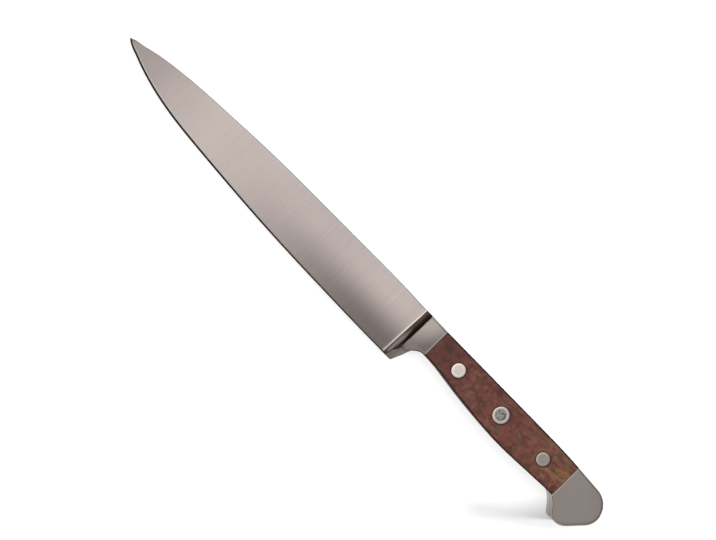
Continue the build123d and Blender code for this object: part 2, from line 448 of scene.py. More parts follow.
def rimWall(line, high, low):
    # straight wall under a line, from one height to another
    share = np.linspace(0, 1, ribPlan["wallRows"] + 1)
    z = high[:, None] + (low - high)[:, None] * share
    return sheet(np.repeat(line[:, None], len(share), 1), z)


def closedBody(side, high, low, rims):
    # two sheets and the walls under those of their borders that are named
    grids = [sheet(side, high), sheet(side, low)]
    return grids + [rimWall(side[rim], high[rim], low[rim]) for rim in rims]


topRim, bottomRim = (slice(None), 0), (slice(None), -1)


def ribStops():
    # Where the ribs start on the lower and on the upper line, as lengths along the outline, their
    # zones, and where the heel's corner ends.
    o, ease = knifeOutline, forging["seamEase"]
    front, rear, height = o["seamFront"], o["seamRear"], o["bladeHeight"]
    # each run of ribs: where it ends on the lower and on the upper line, the ribs, their zone
    runs = [
        ((10, -15.4), (10, -9.2), 40, 0), ((198, -height), (198, 0), 170, 0),
        ((209, -height), (209, -0.5), 60, 0), ((210.4, -30.3), (209.6, -0.5), 14, 0),
        ((212.6, -22.3), (212.2, -0.6), 26, 0),
        ((front - ease, -17.7), (front - ease, -0.85), 36, 0),
        ((front, -17.7), (front, -0.85), 3, 0), ((rear, -20.95), (rear, -1.4), 70, 1),
        (*ribPlan["buttStops"], 64, 2),
    ]
    runs = [(stopNear(*low), stopNear(*high), count, which) for low, high, count, which in runs]
    lowRear, highRear = runs[-2][:2]
    runs.insert(-1, (lowRear + ease, highRear - ease, 3, 2))
    lower, upper, zone = [], [], []
    lowNow, highNow = 0.0, loopLength[-1]
    for lowNext, highNext, count, which in runs:
        power = ribPlan["tipPower"] if lowNow == 0 else 1
        lower.append(between(lowNow, lowNext, count, power))
        upper.append(between(highNow, highNext, count, power))
        zone.append(np.full(count, float(which)))
        lowNow, highNow = lowNext, highNext
    lower, upper, zone = (np.concatenate(part) for part in (lower, upper, zone))
    keep = np.append(True, (np.abs(np.diff(lower)) > 1e-9) | (np.diff(zone) > 0))
    return lower[keep], upper[keep], zone[keep], runs[3][0]


def buildForging():
    # Ribs from the tip to the butt, with a seam where a zone starts, and a fan of ribs round the
    # butt from the last point of the spine.
    f, o, plan = forging, knifeOutline, ribPlan
    front, rear, rounded = o["seamFront"], o["seamRear"], f["edgeRounding"]
    lower, upper, zone, heelEnd = ribStops()
    bottom, bottomNormal = walkLoop(lower)
    top, topNormal = walkLoop(upper)
    step = np.diff(zone) > 0
    seam = np.append(step, False) | np.append(True, step)
    topNormal[seam], bottomNormal[seam] = (0, -1), (0, 1)
    behind = np.where(lower[seam] < (lower[-1] + heelEnd) / 2, front, rear)
    top[seam, 0] = bottom[seam, 0] = np.where(lower[seam] < 1, 0, behind)
    for line, normal in ((top, topNormal), (bottom, bottomNormal)):
        line[zone == 1] += normal[zone == 1] * f["tangInset"]

    across = np.linalg.norm(top - bottom, axis=1)
    pastHeel = fade(lower, *(heelEnd + away for away in plan["pastHeel"]))
    topWidth = mixed(plan["narrowBand"], rounded, fade(top[:, 0], *plan["topWidens"]))
    bottomWidth = mixed(
        bevelWidth(bottom[:, 0]), plan["heelBand"], fade(bottom[:, 0], *plan["bottomWidens"]),
    )
    bottomWidth = mixed(bottomWidth, rounded, pastHeel)
    topWidth, bottomWidth = (
        np.minimum(width, plan["widestBand"] * across) for width in (topWidth, bottomWidth)
    )

    # the spine follows the crease of the heel's ground side there, and the middle elsewhere
    topInner = top + topNormal * topWidth[:, None]
    bottomInner = bottom + bottomNormal * bottomWidth[:, None]
    spine = (topInner + bottomInner) / 2
    slope = math.tan(math.radians(f["heelSlopeDegrees"]))
    climb = (flatSide(spine[:, 0]) - f["heelThickness"] / 2) / slope
    crease = f["heelLip"] - o["bladeHeight"] + climb
    lowest = bottomInner[:, 1] + plan["creaseLift"] * across
    crease = softMax(crease, lowest, plan["creaseSoftness"])
    heelAlong = plan["heelAlong"]
    atHeel = fade(spine[:, 0], *heelAlong[:2]) * (1 - fade(spine[:, 0], *heelAlong[2:]))
    spine[:, 1] = mixed(spine[:, 1], crease, atHeel)
    swing = fade(spine[:, 0], rear + plan["swingStart"], spine[-1, 0])[:, None]
    spine = spine + (plan["hub"] - spine[-1]) * swing

    side, edge = wholeRibs(
        top, topNormal, topWidth, bottom, bottomNormal, bottomWidth, spine,
        1 + plan["heelPower"] * atHeel,
    )
    upperRows = plan["bandRows"] + plan["innerRows"]
    rounding = np.full(edge.shape, rounded)
    rounding[:, upperRows:] = mixed(plan["narrowBand"], rounded, pastHeel)[:, None]
    thick = forgedSheet(side[..., 0], side[..., 1], edge, rounding, zone[:, None] + 0 * edge)
    grids = closedBody(side, thick, -thick, (topRim, bottomRim, 0))

    stops = between(*(stopNear(*place) for place in plan["buttStops"][::-1]), plan["fanRibs"])
    outer, normal = walkLoop(stops)
    outer[0], outer[-1] = top[-1], bottom[-1]
    normal[0], normal[-1] = topNormal[-1], bottomNormal[-1]
    even = np.ones(len(stops))
    fan, fanEdge = ribHalf(outer, normal, spine[-1] + 0 * outer, rounded * even, even)
    fanThick = forgedSheet(
        fan[..., 0], fan[..., 1], fanEdge, rounded + 0 * fanEdge, 2 + 0 * fanEdge,
    )
    return meshPiece("forgedKnife", grids + closedBody(fan, fanThick, -fanThick, (topRim,)))


# Wooden scales

scalePlan = {
    "seamGap": 0.04,                    # wood to steel at both ends
    "seamEase": 0.14,                   # broken edge at both ends
    "ribs": 120,
}


def buildScale(name, sign):
    # The handle's outline between the seams, the flat side with its rounded long edges above, and
    # the level face on the tang below.
    f, o, s = forging, knifeOutline, scalePlan
    front, rear = o["seamFront"] + s["seamGap"], o["seamRear"] - s["seamGap"]
    low = between(stopNear(front, -17.7), stopNear(rear, -20.95), s["ribs"])
    high = between(stopNear(front, -0.85), stopNear(rear, -1.4), s["ribs"])
    ends = np.array([0, s["seamEase"] / 2, s["seamEase"]])
    low = np.concatenate([low[0] + ends, low[1:-1], low[-1] - ends[::-1]])
    high = np.concatenate([high[0] - ends, high[1:-1], high[-1] + ends[::-1]])
    bottom, bottomNormal = walkLoop(low)
    top, topNormal = walkLoop(high)
    topNormal[[0, -1]], bottomNormal[[0, -1]] = (0, -1), (0, 1)
    top[[0, -1], 0] = bottom[[0, -1], 0] = front, rear
    even = np.ones(len(low))
    width = f["edgeRounding"] * even
    side, edge = wholeRibs(
        top, topNormal, width, bottom, bottomNormal, width, (top + bottom) / 2, even,
    )
    x = side[..., 0]
    gap = np.minimum(x - front, rear - x)
    thick = flatSide(x) - edgeDrop(edge, width[:, None]) - brokenEdge(gap, s["seamEase"])
    floor = f["tangThickness"] / 2 + 0 * thick
    rims = (topRim, bottomRim, 0, -1)
    return meshPiece(name, closedBody(side, sign * thick, sign * floor, rims))


# Rivets and the holes that they sit in

rivetPlan = {
    # place along and across, and head diameter
    "places": {
        "front": (237.80, -10.69, 7.6), "middle": (269.99, -11.23, 9.1),
        "rear": (301.94, -11.66, 7.4),
    },
    "lean": {"front": -0.5, "middle": -0.4, "rear": -0.1},      # degrees of the ground head
    "headHeight": 2.0,
    "tubeDiameter": 5.0,
    "pinDiameter": 3.2,
    "pinChamfer": 0.3,
    "endGap": 0.5,
    "clearance": 0.04,
    # the head's edge: inwards and down, as shares of its softness
    "softEdge": 0.13,
    "edgeProfile": [(0, 1), (0.15, 0.5), (0.5, 0.15), (1, 0.0308), (1.5, 0)],
    "headRings": (0.75, 0.5, 0),        # shares of the head's radius
    # sunk round field of the middle rivet: mm outside its rim, and mm below the head
    "fieldDiameter": 5.8,
    "fieldProfile": [
        (0.16, 0), (0.08, 0.004), (0.02, 0.03), (0, 0.10), (-0.06, 0.21), (-0.16, 0.25),
        (-0.3, 0.25), (-2.9, 0.25),
    ],
    "groove": (0.22, 0.20),             # width and depth of the fine line round a head
    "grooveTop": 0.02,                  # above the flat side, so that the groove cuts it cleanly
    "cutterPast": 1.5,                  # above the flat side
    "leanFrom": 0.5,                    # above the seat, only what is higher follows the flat side
    "turns": 96,
    "firstTurn": 0.021,                 # radians, keeps the circle's points off the wood's own grid
}


def turned(profile, place, sign=1, lean=0.0, top=None):
    # Profile points (radius, height) carried round the rivet's axis. Points above "top" follow the
    # slope of the flat side, so a head is ground level with the wood.
    profile = np.array(profile, float)
    angle = np.linspace(0, 2 * math.pi, rivetPlan["turns"] + 1) + rivetPlan["firstTurn"]
    x = place[0] + profile[:, :1] * np.cos(angle)
    y = place[1] + profile[:, :1] * np.sin(angle)
    z = profile[:, 1:] + 0 * x
    if top is not None:
        slope = flatSide(x) - flatSide(place[0]) + (x - place[0]) * math.tan(math.radians(lean))
        z = z + np.where(profile[:, 1:] > top, slope, 0)
    return np.stack([x, y, sign * z], -1)


def holeCutter(name, place, wood):
    # the hole through the tang, or a seat with its fine groove on each side of the wood
    r = rivetPlan
    hole, level = r["tubeDiameter"] / 2 + r["clearance"], flatSide(place[0])
    if not wood:
        past = forging["tangThickness"]
        profile = [(0, -past), (hole, -past), (hole, past), (0, past)]
        return meshPiece(name, [turned(profile, place)])
    seat, head = level - r["headHeight"], place[2] / 2 + r["clearance"]
    wide, deep = r["groove"]
    past, inside = level + r["cutterPast"], forging["tangThickness"] / 4
    profile = [
        (0, inside), (hole, inside), (hole, seat), (head, seat), (head, level - deep),
        (head + wide, level + r["grooveTop"]), (head + wide, past), (0, past),
    ]
    return meshPiece(name, [turned(profile, place, wood, 0, level - 2 * deep)])


def cutHoles(piece, wood):
    # the three holes, one after another; wood is the scale's side, and 0 is the tang
    for name, place in rivetPlan["places"].items():
        cutter = holeCutter(name + "Cutter", place, wood)
        cut = piece.modifiers.new(name + "Hole", "BOOLEAN")
        cut.operation, cut.solver, cut.object = "DIFFERENCE", "MANIFOLD", cutter
        bpy.context.view_layer.update()
        whole = piece.evaluated_get(bpy.context.evaluated_depsgraph_get())
        cutMesh = bpy.data.meshes.new_from_object(whole)
        piece.modifiers.clear()
        piece.data = cutMesh
        bpy.data.objects.remove(cutter)
    piece.data.set_sharp_from_angle(angle=math.radians(meshRules["sharpDegrees"]))


def buildRivet(kind, name):
    # A post has the near head and a pin. A tube has the far head and the hollow that takes the pin.
    r = rivetPlan
    place = r["places"][name]
    level, head, soft = flatSide(place[0]), place[2] / 2, r["softEdge"]
    seat = level - r["headHeight"]
    end, pin, chamfer = r["endGap"] - seat, r["pinDiameter"] / 2, r["pinChamfer"]
    tube, bore = r["tubeDiameter"] / 2, pin + r["clearance"]
    shank = {
        "post": [(0, end), (pin - chamfer, end), (pin, end + chamfer), (pin, seat)],
        "tube": [(0, seat), (bore, seat), (bore, end), (tube, end), (tube, seat)],
    }[kind]
    rim = [(head - inward * soft, level - down * soft) for inward, down in r["edgeProfile"]]
    if (kind, name) == ("post", "middle"):
        field = r["fieldDiameter"] / 2
        rim += [(field + outward, level - down) for outward, down in r["fieldProfile"]]
    else:
        rim += [(share * head, level) for share in r["headRings"]]
    sign, lean = (1, r["lean"][name]) if kind == "post" else (-1, 0)
    profile = turned(shank + [(head, seat)] + rim, place, sign, lean, seat + r["leanFrom"])
    return meshPiece(name + kind.capitalize(), [profile])


def settle(piece, node):
    # every piece rides on the one body and stands for its own node
    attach(piece, "root")
    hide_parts(node)


forgedKnife = buildForging()
cutHoles(forgedKnife, 0)
settle(forgedKnife, "forged_blade")
print("forging:", len(forgedKnife.data.polygons), "faces")

nearScale, farScale = buildScale("nearScale", 1), buildScale("farScale", -1)
for scale, sign, node in ((nearScale, 1, "near_scale"), (farScale, -1, "far_scale")):
    cutHoles(scale, sign)
    settle(scale, node)
print("scales:", len(nearScale.data.polygons), "faces each")

rivets = {}
for name in rivetPlan["places"]:
    for kind in ("post", "tube"):
        rivets[name, kind] = buildRivet(kind, name)
        settle(rivets[name, kind], f"{name}_rivet_{kind}")
print("rivet halves:", len(rivets))


# Materials

def linearColour(hexColour):
    # sRGB hex value to linear light
    values = [int(hexColour[k:k + 2], 16) / 255 for k in (1, 3, 5)]
    return (*[v / 12.92 if v <= 0.04045 else ((v + 0.055) / 1.055) ** 2.4 for v in values], 1.0)


def addNode(tree, kind, inputs=(), out=0, **settings):
    # One node with its settings. An input is another node's output, a hex colour or a plain value,
    # and a row of them goes to the first inputs in turn. Gives back the output that is asked for.
    node = tree.nodes.new("ShaderNode" + kind)
    for name, value in settings.items():
        setattr(node, name, value)
    for key, value in (inputs if isinstance(inputs, dict) else dict(enumerate(inputs))).items():
        if isinstance(value, bpy.types.NodeSocket):
            tree.links.new(value, node.inputs[key])
        else:
            plain = linearColour(value) if isinstance(value, str) else value
            node.inputs[key].default_value = plain
    return node.outputs[out] if node.outputs else node


# A MapRange node's row is its value, where it starts and is full, and what it gives there. A Mix
# node of colours takes its share at input 0 and its colours at 6 and 7.
smooth = {"interpolation_type": "SMOOTHSTEP"}
rgba = {"data_type": "RGBA", "out": 2}
noiseSpan = (0.3, 0.7)                  # nearly all of a noise lies between these


def layOver(tree, colour, layers):
    # Colours laid one over another, each with its share. Where the share is still to be worked out
    # from a value, there follow where it starts, where it is full, and how strong it is then.
    for other, share, *rise in layers:
        if rise:
            start, full, most = rise
            share = addNode(tree, "MapRange", (share, start, full, 0.0, most), **smooth)
        colour = addNode(tree, "Mix", {0: share, 6: colour, 7: other}, **rgba)
    return colour


def streaks(tree, place, size, squeeze, detail=3, turnDegrees=0):
    # noise of a size in mm, drawn out along the axes that are squeezed
    turned = (0, 0, math.radians(turnDegrees))
    place = addNode(tree, "Mapping", {"Vector": place, "Rotation": turned, "Scale": squeeze})
    return addNode(tree, "TexNoise", {
        "Vector": place, "Scale": 1 / (size * mm), "Detail": detail, "Roughness": 0.6,
    })


def startMaterial(name):
    # an empty material, its nodes, and the Object coordinates that its patterns lie on
    material = bpy.data.materials.new(name)
    material.use_nodes = True
    tree = material.node_tree
    tree.nodes.clear()
    return material, tree, addNode(tree, "TexCoord", out="Object")


def finishMaterial(material, surface, pattern, depth, strength=1.0):
    # the shader, with a pattern as its bump, whose depth is in mm
    tree = material.node_tree
    bump = {"Height": pattern, "Strength": strength, "Distance": depth * mm}
    bump = addNode(tree, "Bump", bump)
    shader = addNode(tree, "BsdfPrincipled", {"Normal": bump, **surface})
    addNode(tree, "OutputMaterial", {"Surface": shader})
    return material


# Limits in the materials are places on the knife in mm, and these three turn them to the metres of
# the laid knife.

def alongAt(x, height=0.0):
    # x mm from the tip
    return laid([x, 0, height])[0]


def belowAt(y):
    # y mm below the back
    return laid([0, -y, 0])[1]


acrossRamp = (1.0, -forging["rampSlant"], 0.0)


def rampAt(x, height=0.0):
    # x mm from the tip, across the ramp with its slant
    return laid([x, forging["rampMiddle"], height]) @ acrossRamp


# Stainless knife steel, blade sides finished on a fine satin wheel. The eye sees one soft warm grey
# with hair-fine strokes from the back to the edge. Painted shade stands in for darker reflections
# at the tip and in a long soft cloud towards the cutting edge near the heel. There is a painted
# brighter reflection above that cloud near the bolster, painted highlights on the foot strip and
# the bevel's shoulder, and a cutting bevel that is whetted and also painted dark for its dark
# reflection.
bladeLook = {
    "colour": "#CFC3BE",
    "cloudColour": "#C1B5B0",
    "cloudSize": 26.0,                  # mm
    # painted shade: darker reflections at the tip and towards the heel's cutting edge
    "darkReflectionColour": "#857C78",
    "tipDarkReflection": (62.0, 8.0, 0.55),       # mm from the tip where it starts and is full, strength
    "heelDarkAlong": (70.0, 192.0),     # mm from the tip
    "heelDarkAcross": (7.0, 27.5),      # mm below the back
    "heelReflectionColour": "#D9CBC6",       # painted brighter reflection near the bolster, above the painted shade
    "heelReflectionAlong": (140.0, 192.0),   # mm from the tip
    "footHighlightColour": "#EDDFD8",            # painted highlight, the last strip before the ramp is the brightest
    "footStrip": (203.9, 204.5),        # mm from the tip
    "bevelColour": "#5E5753",           # the cutting bevel, whetted on a fine stone, and painted dark for its dark reflection
    "bevelStart": (0.0, -0.1),          # mm above the shoulder
    "shoulderHighlightColour": "#E9DED8",        # painted highlight line where the bevel starts
    "shoulderLine": (0.75, 0.10, 0.5),  # mm above the shoulder: starts, is full; strength
    "roughness": (0.20, 0.24),
    "strokeSpacing": 1.5,               # mm, real strokes are about 0.05 mm apart, too fine to show
    "strokeDepth": 0.0003,              # mm
}


def satinKnifeSteel():
    look = bladeLook
    material, tree, place = startMaterial("satinKnifeSteel")
    along, down, _ = addNode(tree, "SeparateXYZ", (place,)).node.outputs
    clouds = addNode(tree, "TexNoise", {
        "Vector": place, "Scale": 1 / (look["cloudSize"] * mm), "Detail": 2,
    })
    # painted shade, darker at the tip and in a cloud towards the heel's cutting edge
    start, full, most = look["tipDarkReflection"]
    tip = addNode(tree, "MapRange", (along, alongAt(start), alongAt(full), 0.0, most), **smooth)
    limits = map(alongAt, look["heelDarkAlong"])
    nearHeel = addNode(tree, "MapRange", (along, *limits), **smooth)
    limits = map(belowAt, look["heelDarkAcross"])
    heel = addNode(tree, "MapRange", (down, *limits, 0.0, nearHeel), **smooth)
    shadeCloud = addNode(tree, "Math", (tip, heel), operation="MAXIMUM")
    above = addNode(tree, "Attribute", out="Fac", attribute_name="aboveBevel")
    bevel = addNode(tree, "MapRange", (above, *look["bevelStart"]))
    slanting = addNode(tree, "VectorMath", (place, acrossRamp), "Value", operation="DOT_PRODUCT")
    # painted light over the satin clouds: reflections, highlights, the painted shade and the dark
    # bevel
    colour = layOver(tree, look["colour"], [
        (look["cloudColour"], clouds),
        (look["heelReflectionColour"], along, *map(alongAt, look["heelReflectionAlong"]), 1.0),
        (look["darkReflectionColour"], shadeCloud),
        (look["footHighlightColour"], slanting, *map(rampAt, look["footStrip"]), 1.0),
        (look["shoulderHighlightColour"], above, *look["shoulderLine"]),
        (look["bevelColour"], bevel),
    ])
    strokes = streaks(tree, place, look["strokeSpacing"], (1, 0.02, 0.02))
    rough = addNode(tree, "MapRange", (strokes, *noiseSpan, *look["roughness"]))
    surface = {"Base Color": colour, "Metallic": 1.0, "Roughness": rough}
    return finishMaterial(material, surface, strokes, look["strokeDepth"])


# The same steel on the bolster and the pommel, ground on a coarser belt and then blasted dull. The
# eye sees a grey without a clear reflection. Light and shade are painted into its colour: a painted
# brighter reflection towards the bolster's ramp and back, highlight lines at the seams and the
# choil, and painted shade on the ramp, the roundings and the hook's inside, with pale highlight
# streaks at the ramp's foot.
bolsterLook = {
    "colour": "#B9AFA9",
    "cloudColour": "#A89E99",
    "cloudSize": 12.0,                  # mm
    # the next two: painted brighter reflection, also the seams' highlight lines, and painted darker
    # one
    "brightReflectionColour": "#D0C5BF",
    "darkReflectionColour": "#8A807B",
    "brighteningFrom": (210.0, -7.0),         # mm in the side view
    "brighteningWay": (-1.0, 0.75),           # direction in which the bolster's painted reflection brightens
    "brightening": (-11.0, 1.0),           # mm in that direction, from painted darker to painted brighter reflection
    "brighteningWave": 1.5,                # mm
    "lowReflectionColour": "#9C918B",             # paler again at the choil, a painted brighter reflection
    "lowStart": (15.5, 18.0),           # mm below the back
    "lowAlong": (208.5, 211.5),         # mm from the tip
    "pastSeam": 0.6,                    # mm behind the front seam, up to where it is the bolster
    "seamHighlight": (1.3, 0.4, 0.65),       # mm off each seam where its painted highlight line starts and is full
    # where each band starts and is full, as shares of the edge rounding that the side has dropped
    "choilHighlightColour": "#CFC3BB",           # painted highlight band where the choil rounds off
    "choilBand": (0.001, 0.01),
    # painted shade on the roundings and the rims
    "roundingShadeColour": "#5A534E",
    "choilRim": (0.04, 0.16),
    "rounding": (0.20, 0.50),
    "roundingStrength": (0.7, 0.2),     # off and on the bolster
    "rim": (0.45, 0.80, 0.8),
    # painted shade on the walls, dark and pale streaks
    "wallShadeColours": ("#6B645E", "#B0A69F"),
    "wall": (0.93, 1.0),
    "wallStrength": (1.0, 0.4),         # off and on the bolster
    "wallStreak": 2.2,                  # mm through the thickness
    "edgeReflectionTint": "#4A4643",              # painted darker reflection of the roundings at a grazing angle
    "whiteTint": (1.0, 1.2),            # the pommel's walls reflect all from here on
    "rampReflectionColours": ("#362E28", "#A49A92"),          # painted dark reflection, nearly black, and the foot's painted highlight streaks
    "rampPale": (0.25, 0.48, 1.0, 0.05),            # shares of its width, and how pale there
    "rampPaleBelow": (12.0, 22.0, 0.27, 1.35),      # mm below the back, and how pale there
    "rampPaleGrowth": 1.0,              # mm that it is wider at the heel
    "rampStreak": 0.9,                  # mm
    "rampStreaky": (0.35, 0.65, 0.45, 1.2),         # noise from and to, and how pale there
    "rampNarrowing": 1.3,               # mm that the crest has moved in at the edge
    "rampNarrows": (19.0, 31.0),        # mm below the back
    "rampEdge": (31.0, 27.0, 0.15, 1.0),            # dark again at the edge, as above
    "crestLine": (0.35, 0.8),           # mm before the crest, black up to here
    "rampEnd": (0.05, 0.35),            # mm before the crest, where the bolster's colour ends
    "roughness": 0.33,
    "markSpacing": 0.7,                 # mm
    "markDepth": 0.0015,                # mm
}


def blastedKnifeSteel():
    look = bolsterLook
    material, tree, place = startMaterial("blastedKnifeSteel")
    along, down, _ = addNode(tree, "SeparateXYZ", (place,)).node.outputs
    drop = addNode(tree, "Attribute", out="Fac", attribute_name="sideDrop")
    clouds = addNode(tree, "TexNoise", {
        "Vector": place, "Scale": 1 / (look["cloudSize"] * mm), "Detail": 2,
    })

    # on the bolster alone, painted reflection that brightens on a slant, with wavy borders
    side = 7.0                          # height of the bolster's flat side
    way, wave = (*look["brighteningWay"], 0.0), look["brighteningWave"] * mm
    slope = addNode(tree, "VectorMath", (place, way), "Value", operation="DOT_PRODUCT")
    wavy = addNode(tree, "MapRange", (clouds, *noiseSpan, -wave, wave))
    slope = addNode(tree, "Math", (slope, wavy), operation="ADD")
    start = laid([*look["brighteningFrom"], side]) @ way
    clear = addNode(tree, "MapRange", (slope, *(start + step * mm for step in look["brightening"])))
    behind = addNode(tree, "MapRange", (along, *(alongAt(x, side) for x in look["lowAlong"])))
    low = [belowAt(y) for y in look["lowStart"]]
    bolster = layOver(tree, look["darkReflectionColour"], [
        (look["brightReflectionColour"], clear), (look["lowReflectionColour"], down, *low, behind),
    ])
    seamFront, seamRear = knifeOutline["seamFront"], knifeOutline["seamRear"]
    bolsterEnd = alongAt(seamFront + look["pastSeam"], side)
    onBolster = addNode(tree, "Math", (along, bolsterEnd), operation="LESS_THAN")
    atChoil = addNode(tree, "MapRange", (down, *low, 0.0, onBolster), **smooth)
    layers = [(look["cloudColour"], clouds), (bolster, onBolster)]

    # a painted highlight line beside each seam
    start, full, most = look["seamHighlight"]
    for seam in (seamFront, seamRear):
        off = addNode(tree, "Math", (along, alongAt(seam, side + 1)), operation="SUBTRACT")
        off = addNode(tree, "Math", (off,), operation="ABSOLUTE")
        layers.append((look["brightReflectionColour"], off, start * mm, full * mm, most))

    # a painted highlight where the choil starts to round off, painted shade lines where an edge
    # turns down, fainter on the bolster, and walls darkened with painted shade, with streaks that
    # run round them as the belt did
    onRounding, wallMost = (
        addNode(tree, "MapRange", (onBolster, 0.0, 1.0, *look[name]))
        for name in ("roundingStrength", "wallStrength")
    )
    onWall = addNode(tree, "MapRange", (drop, *look["wall"], 0.0, wallMost))
    runs = streaks(tree, place, look["wallStreak"], (0.05, 0.05, 1))
    runs = addNode(tree, "MapRange", (runs, *noiseSpan))
    darkWall, paleWall = look["wallShadeColours"]
    dark = look["roundingShadeColour"]
    layers += [
        (look["choilHighlightColour"], drop, *look["choilBand"], atChoil),
        (dark, drop, *look["choilRim"], atChoil), (dark, drop, *look["rounding"], onRounding),
        (dark, drop, *look["rim"]),
        (layOver(tree, darkWall, [(paleWall, runs)]), onWall),
    ]

    # The ramp, in painted light: nearly black at the crest, a painted dark reflection, and pale
    # streaks of painted highlight along the foot that widen and gain towards the heel. Near the
    # edge the crest runs in towards the foot, with its black line.
    foot = rampAt(forging["rampFront"], 1.0)
    crest = rampAt(forging["rampRear"], forging["bolsterThickness"] / 2)
    slanting = addNode(tree, "VectorMath", (place, acrossRamp), "Value", operation="DOT_PRODUCT")
    heelward, offEdge = (
        addNode(tree, "MapRange", (down, belowAt(first), belowAt(last), *strengths))
        for first, last, *strengths in (look["rampPaleBelow"], look["rampEdge"])
    )
    narrows, most = map(belowAt, look["rampNarrows"]), look["rampNarrowing"] * mm
    narrowing = addNode(tree, "MapRange", (down, *narrows, 0.0, most))
    narrowed = addNode(tree, "Math", (slanting, narrowing), operation="ADD")
    growth = -look["rampPaleGrowth"] * mm
    across = addNode(tree, "Math", (heelward, growth, slanting), operation="MULTIPLY_ADD")
    first, last, *strengths = look["rampPale"]
    paleFoot = mixed(foot, crest, first), mixed(foot, crest, last)
    atFoot = addNode(tree, "MapRange", (across, *paleFoot, *strengths), **smooth)
    limits = [[crest - before * mm for before in look[name]] for name in ("crestLine", "rampEnd")]
    offCrest = addNode(tree, "MapRange", (narrowed, *limits[0]), **smooth)
    onRamp = addNode(tree, "MapRange", (narrowed, *limits[1]))
    streaky = streaks(tree, place, look["rampStreak"], (1, 0.12, 0.6), 2)
    pale = addNode(tree, "MapRange", (streaky, *look["rampStreaky"]))
    for share in (heelward, atFoot, offCrest, offEdge):
        pale = addNode(tree, "Math", (pale, share), operation="MULTIPLY")
    rampDarkReflection, rampPaleReflection = look["rampReflectionColours"]
    layers.append((layOver(tree, rampDarkReflection, [(rampPaleReflection, pale)]), onRamp))

    # a dark specular tint paints darker reflections on roundings and the bolster's walls at a
    # grazing angle, the pommel's walls reflect all
    offBolster = addNode(tree, "Math", (1.0, onBolster), operation="SUBTRACT")
    grazing = addNode(tree, "MapRange", (drop, *look["whiteTint"], 0.0, offBolster))
    surface = {
        "Base Color": layOver(tree, look["colour"], layers), "Metallic": 1.0,
        "Roughness": look["roughness"],
        "Specular Tint": layOver(tree, look["edgeReflectionTint"], [("#FFFFFF", grazing)]),
    }
    marks = streaks(tree, place, look["markSpacing"], (1, 0.06, 0.06))
    return finishMaterial(material, surface, marks, look["markDepth"])


# Fruit wood from near the root, sanded and oiled. The eye sees a dark red-brown ground with blurred
# mottles, one greenish dark knot behind the bolster, pale curl across the grain, a little gold
# towards the rear end and fine dark pores. The rounded long edges are darkened with painted shade,
# and the wood is darker in a ring round each rivet's head.
woodLook = {
    "ground": "#60372D",
    # colour, how it lies, size in mm, detail, distortion, noise from and to, strength
    "mottles": [
        ("#43211B", "grain", 9.0, 3, 0.6, 0.45, 0.68, 0.75),
        ("#553D30", "grain", 6.0, 2, 0.8, 0.48, 0.66, 0.85),
        ("#6A3832", "curl", 6.0, 2, 0.5, 0.52, 0.70, 0.70),
        ("#73493E", "curl", 2.2, 1, 0.4, 0.48, 0.78, 0.75),
        ("#43211B", "grain", 2.3, 1, 0.5, 0.44, 0.70, 0.65),
        ("#73493E", "grain", 1.5, 1, 0.3, 0.54, 0.80, 0.60),
    ],
    # turn in degrees, and how much each axis is squeezed
    "grain": (-14, (0.5, 1, 1)),
    "curl": (38, (1, 0.4, 0.6)),
    "dark": "#43211B",
    "frontDark": (242.0, 226.0, 0.5),   # mm from the tip where it starts and is full, strength
    "gold": "#7B5837",
    "goldAlong": (286.0, 312.0),        # mm from the tip
    "flameSize": 4.5,                   # mm
    "flame": (0.40, 0.68, 0.8),         # noise from and to, strength
    "knot": "#3A271C",
    "knotPlace": (226.1, -5.9),         # mm in the side view, as the rivets' places
    "knotSize": (5.5, 3.4),             # mm along and across
    "knotBorder": (1.5, 0.6, 0.8),      # distance in those sizes from and to, strength
    "knotUneven": 3.0,                  # mm
    "poreLength": 2.4,
    "poreWidth": 0.22,                  # real pores are 0.1 mm wide, drawn as wide as shows
    "poreShare": (0.58, 0.70, 0.35),
    "poreDepth": 0.015,
    "poreStrength": 0.6,
    # painted shade on the rounded long edges
    "edge": "#241009",
    "edgeShade": (0.01, 0.18),           # from and to, as shares of the edge rounding
    "wallFade": (1.2, 3.0, 0.96, 0.384),            # the same, and how dark there
    "rimDark": (1.0, 0.2, 0.7),         # mm round a rivet's head from and to, strength
    "roughness": (0.5, 0.9),            # on the wood and on its dark edges
    "gloss": 0.3,                       # a dull dried oil reflects less than a varnish
}


